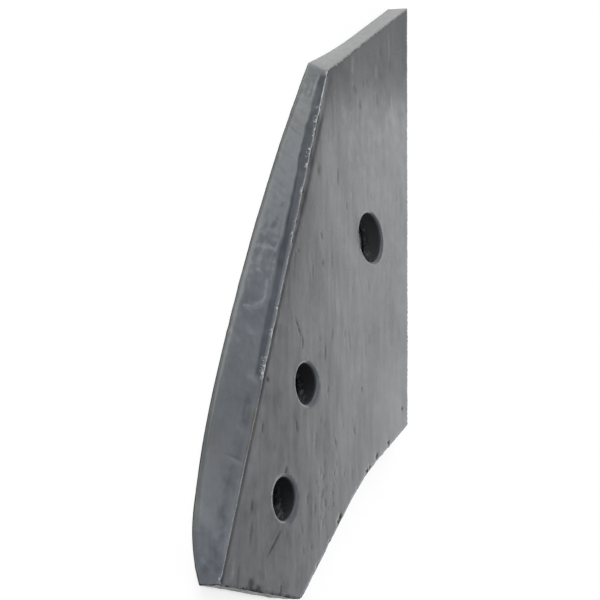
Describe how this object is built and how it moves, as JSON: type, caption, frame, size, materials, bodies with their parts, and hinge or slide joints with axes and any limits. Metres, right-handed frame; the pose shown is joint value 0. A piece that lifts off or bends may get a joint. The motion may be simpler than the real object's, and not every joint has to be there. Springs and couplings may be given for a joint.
{
  "type": "plough share",
  "caption": "Flat forged plough share with a pressed lens-shaped cutting bevel, rounded punched bolt holes and sheared ends.",
  "frame": {"origin": "axis of the bolt hole nearest the nose end, on the lower face that the share lies on", "axes": "+X along the straight ridge from the nose end to the wing end, +Y towards the cutting edge, +Z out of the upper face with the bevel"},
  "size_m": [0.2349, 0.1026, 0.0084],
  "materials": {
    "share_steel": "semi-gloss dark grey dip coat over forged steel"
  },
  "bodies": {
    "root": {"share": "share_steel"}
  },
  "joints": []
}
